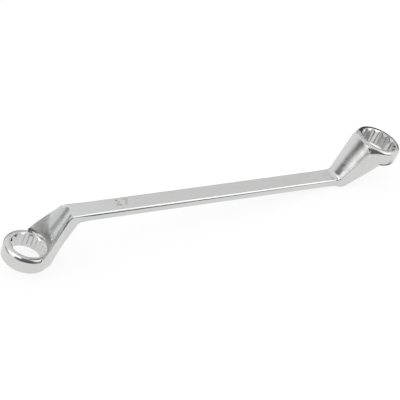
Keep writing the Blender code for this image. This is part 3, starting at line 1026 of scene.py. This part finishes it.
def white_floor():
    bm = bmesh.new()
    bmesh.ops.create_grid(bm, x_segments=1, y_segments=1, size=FLOOR_REACH)
    floor = mesh_object(bm, "bench")
    paint = bpy.data.materials.new("bench_white")
    paint.use_nodes = True
    tree = paint.node_tree
    shader = tree.nodes["Principled BSDF"]
    shader.inputs["Base Color"].default_value = (*grey(FLOOR_WHITE), 1)
    shade = wired(tree, "ShaderNodeBsdfDiffuse", {"Color": (*grey(FLOOR_SHADE_SHARE), 1)})
    glow = wired(tree, "ShaderNodeEmission", {"Strength": FLOOR_GLOW})
    both = wired(tree, "ShaderNodeAddShader", {0: shade.outputs[0], 1: glow.outputs[0]})
    choice = {0: seen_rays(tree), 1: shader.outputs[0], 2: both.outputs[0]}
    choose = wired(tree, "ShaderNodeMixShader", choice)
    tree.links.new(choose.outputs[0], tree.nodes["Material Output"].inputs["Surface"])
    floor.data.materials.append(paint)


white_world()
white_floor()

# %% [markdown]
# Polished metal shows only what stands around it, so a photographer gives it form with cards: white
# ones where a highlight belongs, grey and black ones where an edge should read dark. Each card here
# is a grid, bent round the tool or laid flat. It has soft edges, and it shows only in reflections,
# so it casts no shadow and hides nothing.

# %% Cards
CARD_DISTANCE = 2.5
CARD_STEP = 0.02
BENCH_GAP = 0.05 * MM
CARD_COLUMNS, CARD_ROWS = 24, 16
hung = []


def card_paint(name, tone, strength, soft):
    """A glow that fades out towards the card's edges, over the given share of its width."""
    paint = bpy.data.materials.new(name)
    paint.use_nodes = True
    tree = paint.node_tree
    tree.nodes.remove(tree.nodes["Principled BSDF"])
    glow = wired(tree, "ShaderNodeEmission", {"Color": (*tone, 1), "Strength": strength})
    clear = wired(tree, "ShaderNodeBsdfTransparent", {})
    where = wired(tree, "ShaderNodeUVMap", {}).outputs["UV"]
    sides = wired(tree, "ShaderNodeSeparateXYZ", {0: where}).outputs
    from_edge = [reckon(tree, "PINGPONG", sides[axis], 0.5) for axis in "XY"]
    covers = [between(tree, distance, 0, soft / 2) for distance in from_edge]
    cover = {0: reckon(tree, "MULTIPLY", *covers), 1: clear.outputs[0], 2: glow.outputs[0]}
    blend = wired(tree, "ShaderNodeMixShader", cover)
    tree.links.new(blend.outputs[0], tree.nodes["Material Output"].inputs["Surface"])
    return paint


def hang(name, place, tone, strength, soft):
    """Bends a grid with a function of its two sides, 0 to 1, and shows it in reflections only."""
    bm = bmesh.new()
    bm.loops.layers.uv.new("card")
    segments = {"x_segments": CARD_COLUMNS, "y_segments": CARD_ROWS}
    bmesh.ops.create_grid(bm, **segments, size=0.5, calc_uvs=True)
    for vert in bm.verts:
        vert.co = place(vert.co.x + 0.5, vert.co.y + 0.5)
    piece = mesh_object(bm, name)
    piece.data.materials.append(card_paint(name, tone, strength, soft))
    piece.visible_camera = piece.visible_diffuse = piece.visible_shadow = False
    piece.visible_transmission = piece.visible_volume_scatter = False
    hung.append(piece)


def card(name, azimuths, elevations, tone, strength=1.0, soft=0.3, lean=0.0):
    """A card round the tool: azimuth 0 is behind it, 90 to the right. Later cards hang nearer."""
    distance = CARD_DISTANCE - CARD_STEP * len(hung)

    def place(u, v):
        azimuth = math.radians(lerp(*azimuths, u) + lean * (v - 0.5))
        elevation = math.radians(lerp(*elevations, v))
        level = math.cos(elevation) * distance
        return level * math.sin(azimuth), level * math.cos(azimuth), math.sin(elevation) * distance

    hang(name, place, tone, strength, soft)


def flat_card(name, corners, tone, strength=1.0, soft=0.3):
    """A card between four corners that run round it.

    Corners without a height lie on the bench, each later card just above the one before.
    """
    a, b, c, d = (Vector((*corner, BENCH_GAP * len(hung))[:3]) for corner in corners)
    hang(name, lambda u, v: a.lerp(b, u).lerp(d.lerp(c, u), v), tone, strength, soft)


card("overhead_dark", (-180, 180), (66, 90), grey(0.18), soft=0.5)
card("overhead_left", (-215, -60), (34, 80), grey(0.22), soft=0.4)
card("front_dark", (138, 256), (-1, 66), grey(0.15), soft=0.2)
card("front_low_dark", (120, 200), (-1, 20), grey(0.09), soft=0.3)
card("upper_left_white", (-160, -62), (54, 80), grey(1.0), strength=2.15)
card("side_left_white", (-116, -60), (30, 58), grey(1.0), strength=2.0)
card("left_horizon", (-132, -76), (-2, 8), (0.84, 0.87, 0.84), soft=0.2)
card("left_horizon_dim", (-88, -50), (-3, 7), (0.3, 0.32, 0.31), soft=0.7)
card("left_dark", (-99, -36), (2, 27), grey(0.2), soft=0.7)
card("left_white", (-102, -80), (8, 24), grey(1.0), strength=1.9, soft=0.5, lean=67)
card("back_light", (28, 66), (7, 60), grey(0.89), soft=0.3)
card("back_grey", (-10, 30), (4, 28), grey(0.42), soft=0.25)
card("right_white", (64, 148), (22, 54), grey(1.0), strength=1.75, soft=0.2)
card("upper_right_white", (50, 150), (46, 74), grey(1.0), strength=1.65, soft=0.2)
card("overhead_white", (-180, 180), (82, 90), grey(1.0), strength=1.5, soft=0.2)
card("right_strip_dark", (46, 74), (35, 50), grey(0.05), soft=0.3)
card("back_low_dark", (18, 72), (-1, 8), grey(0.02), soft=0.2)

# %% [markdown]
# Some surfaces look down and show the bench instead: the scoop shows its left part, the edge of the
# shank its near part, and the far shoulder of the large ring its right part. Cards that lie on the
# bench tone those. The dark one under the large ring is painted shade: it stands for the shaded
# bench beneath that ring. The last card stands upright, close behind the large ring, and darkens the
# far side of that ring alone.

# %% Cards on the bench and behind the large ring
flat_card(
    "left_bench",
    ((-0.3, -0.12), (-0.36, 0.14), (-4.4, 2.6), (-4.8, -1.2)),
    (0.86, 0.89, 0.86),
    soft=0.1,
)
flat_card(
    "left_bench_dim",
    ((-0.5, 0.02), (-0.4, 0.3), (-4.0, 3.2), (-4.6, -0.1)),
    (0.3, 0.32, 0.31),
    soft=0.7,
)
flat_card(
    "left_bench_blue",
    ((-0.21, 0.06), (-0.23, 0.11), (-0.9, 0.72), (-0.68, 0.42)),
    (0.84, 0.93, 1.0),
)
flat_card(
    "left_bench_teal",
    ((-0.215, 0.03), (-0.14, 0.03), (-0.12, 0.24), (-0.23, 0.24)),
    (0.05, 0.08, 0.09),
)
flat_card(
    "front_bench",
    ((-0.13, -0.062), (0.112, -0.027), (0.12, -1.2), (-0.5, -1.2)),
    grey(0.11),
    soft=0.06,
)
flat_card(
    "right_bench",
    ((0.2, 0.16), (0.34, 0.05), (1.9, 1.2), (0.8, 1.7)),
    grey(0.04),
    soft=0.08,
)
# Painted shade: a dark card for the shaded bench under the large ring, seen in its bore.
flat_card(
    "shade_under_large_ring",
    ((0.16, -0.042), (0.21, -0.042), (0.21, 0.0), (0.16, 0.0)),
    grey(0.2),
    soft=0.5,
)
screen_left, screen_right = (0.2009, 0.0684), (0.2274, 0.0346)
screen_foot, screen_head = 0.034, 0.064
flat_card(
    "behind_large_ring",
    (
        (*screen_left, screen_foot),
        (*screen_right, screen_foot),
        (*screen_right, screen_head),
        (*screen_left, screen_head),
    ),
    grey(0.02),
    soft=0.2,
)
print("cards hung:", [piece.name for piece in hung])

# %% [markdown]
# ## The camera
# It stands at the photograph's viewing angle, found by fitting the rims and the shank's edges.

# %% Camera
LENS_MM, SENSOR_MM = 95.3793, 36.0
CAMERA_PLACE = Vector((-0.34218871, -0.61683342, 0.68611722))
CAMERA_TURN = tuple(math.radians(a) for a in (46.32168, -4.05301, -24.36672))
camera_data = bpy.data.cameras.new("camera")
camera_data.lens = LENS_MM
camera_data.sensor_width = SENSOR_MM
camera = bpy.data.objects.new("camera", camera_data)
camera.location = CAMERA_PLACE
camera.rotation_euler = CAMERA_TURN
bpy.context.scene.collection.objects.link(camera)
bpy.context.scene.camera = camera
bpy.context.scene.view_settings.view_transform = "Standard"
print("camera at:", [round(c, 3) for c in camera.location], "lens in mm:", LENS_MM)
